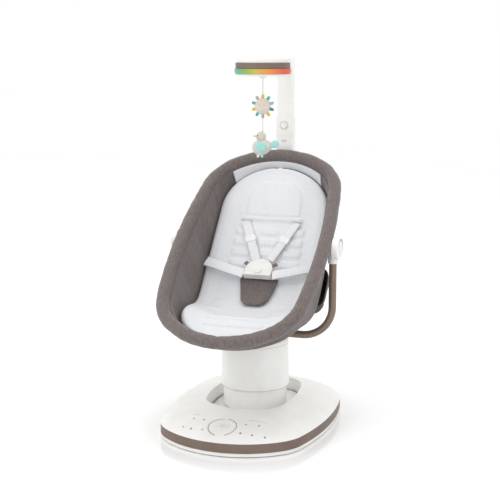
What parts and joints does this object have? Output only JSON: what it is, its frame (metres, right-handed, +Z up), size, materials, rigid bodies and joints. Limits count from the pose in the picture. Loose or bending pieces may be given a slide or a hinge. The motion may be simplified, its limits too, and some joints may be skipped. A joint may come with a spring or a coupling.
{
  "type": "baby swing",
  "caption": "Electric baby swing: domed base, short sliding column, U-frame with a reclining padded seat, tall post with a round light head and a soft toy mobile.",
  "frame": {"origin": "on the floor under the column's axis, at the face of the middle foot", "axes": "+Z up, the sitting child faces -Y, +X is the side on the right when the swing is seen from the front"},
  "size_m": [0.493, 0.6465, 1.016],
  "materials": {
    "bird_fabric": "plush",
    "black_plastic": "matte",
    "brass": "satin",
    "bucket_fabric": "woven",
    "buckle_plastic": "satin",
    "circuit_board": "satin",
    "clear_ring": "gloss",
    "cord": "matte",
    "dark_fabric": "woven",
    "dial_plastic": "gloss",
    "foot_rubber": "matte",
    "frame_paint": "satin",
    "grey_plastic": "matte",
    "panel_print": "satin",
    "steel": "satin",
    "stiff_board": "matte",
    "sun_fabric": "plush",
    "taupe_fabric": "woven",
    "trim_plastic": "matte",
    "webbing": "woven",
    "white_fabric": "knitted",
    "white_plastic": "satin"
  },
  "bodies": {
    "base": {"base_upper_shell": "white_plastic", "base_lower_shell": "white_plastic", "base_trim_band": "trim_plastic", "control_panel": "panel_print", "dc_inlet": "black_plastic", "base_feet": "foot_rubber", "base_screws": "steel", "recess_floor": "white_plastic", "main_board": "circuit_board", "loudspeaker": "black_plastic", "guide_rods": "steel", "gearbox": "grey_plastic", "swing_motor": "steel"},
    "dial": {"dial_button": "dial_plastic"},
    "pinion": {"drive_pinion": "brass"},
    "column": {"carriage": "grey_plastic", "carriage_bushings": "brass", "drive_rack": "grey_plastic", "column_core": "steel", "column_collar": "white_plastic", "column_shell": "white_plastic", "swivel_bolt": "steel", "swivel_washer": "grey_plastic"},
    "seat_frame": {"swivel_cap": "white_plastic", "u_frame": "frame_paint", "hub_housings": "white_plastic", "hub_axles": "steel", "button_springs": "steel", "post_arm": "white_plastic", "post_lower": "white_plastic", "post_joint": "white_plastic", "post_upper": "white_plastic", "head_top": "white_plastic", "head_band": "trim_plastic", "light_ring": "clear_ring", "light_board": "circuit_board", "head_cover": "white_plastic", "mobile_motor": "black_plastic"},
    "recline_button_right": {"recline_button_right": "trim_plastic"},
    "recline_button_left": {"recline_button_left": "trim_plastic"},
    "post_button": {"post_button": "white_plastic"},
    "hanger": {"mobile_hanger": "white_plastic"},
    "toys": {"mobile_ribbon": "cord", "mobile_string": "cord", "sun_toy": "sun_fabric", "bird_toy": "bird_fabric"},
    "seat": {"hoop_tube": "steel", "hoop_padding": "taupe_fabric", "recline_plates": "steel", "seat_bucket": "bucket_fabric", "seat_boards": "stiff_board", "seat_insert": "white_fabric", "under_pocket": "dark_fabric", "crotch_pad": "taupe_fabric", "buckle": "buckle_plastic", "shoulder_straps": "webbing", "waist_straps": "webbing"},
    "buckle_release": {"buckle_button": "buckle_plastic"},
    "adjuster_right": {"strap_adjuster_right": "buckle_plastic"},
    "adjuster_left": {"strap_adjuster_left": "buckle_plastic"}
  },
  "joints": [
    {"name": "swing_slide", "type": "slide", "parent": "base", "child": "column", "axis": [1, 0, 0], "range_m": [-0.022, 0.022]},
    {"name": "pinion_spin", "type": "hinge", "parent": "base", "child": "pinion", "pos_m": [0, 0.093, 0.018], "axis": [0, 0, 1], "range_deg": [-141, 141]},
    {"name": "dial_press", "type": "slide", "parent": "base", "child": "dial", "axis": [0, 0.225, -0.9744], "range_m": [0, 0.0015], "stiffness_N_per_m": 700},
    {"name": "seat_swivel", "type": "hinge", "parent": "column", "child": "seat_frame", "pos_m": [0, 0, 0.225], "axis": [0, 0, 1], "range_deg": [-90, 90]},
    {"name": "recline", "type": "hinge", "parent": "seat_frame", "child": "seat", "pos_m": [0, 0, 0.504], "axis": [1, 0, 0], "range_deg": [0, 16]},
    {"name": "recline_press_right", "type": "slide", "parent": "seat_frame", "child": "recline_button_right", "axis": [-1, 0, 0], "range_m": [0, 0.003], "stiffness_N_per_m": 700},
    {"name": "recline_press_left", "type": "slide", "parent": "seat_frame", "child": "recline_button_left", "axis": [1, 0, 0], "range_m": [0, 0.003], "stiffness_N_per_m": 700},
    {"name": "post_press", "type": "slide", "parent": "seat_frame", "child": "post_button", "axis": [0, 1, 0], "range_m": [0, 0.003], "stiffness_N_per_m": 700},
    {"name": "mobile_spin", "type": "hinge", "parent": "seat_frame", "child": "hanger", "pos_m": [0, 0.066, 0.965], "axis": [0, 0, 1], "continuous": true},
    {"name": "mobile_sway", "type": "hinge", "parent": "hanger", "child": "toys", "pos_m": [0, 0.066, 0.9588], "axis": [1, 0, 0], "range_deg": [-15, 15]},
    {"name": "buckle_press", "type": "slide", "parent": "seat", "child": "buckle_release", "axis": [0, 0.6032, -0.7976], "range_m": [0, 0.003], "stiffness_N_per_m": 700},
    {"name": "adjuster_slide_right", "type": "slide", "parent": "seat", "child": "adjuster_right", "axis": [-0.4132, -0.5714, -0.7091], "range_m": [-0.02, 0.03]},
    {"name": "adjuster_slide_left", "type": "slide", "parent": "seat", "child": "adjuster_left", "axis": [0.4132, -0.5714, -0.7091], "range_m": [-0.02, 0.03]}
  ],
  "couplings": [
    {"joint": "pinion_spin", "follows": "swing_slide", "rad_per_m": 111.11}
  ]
}
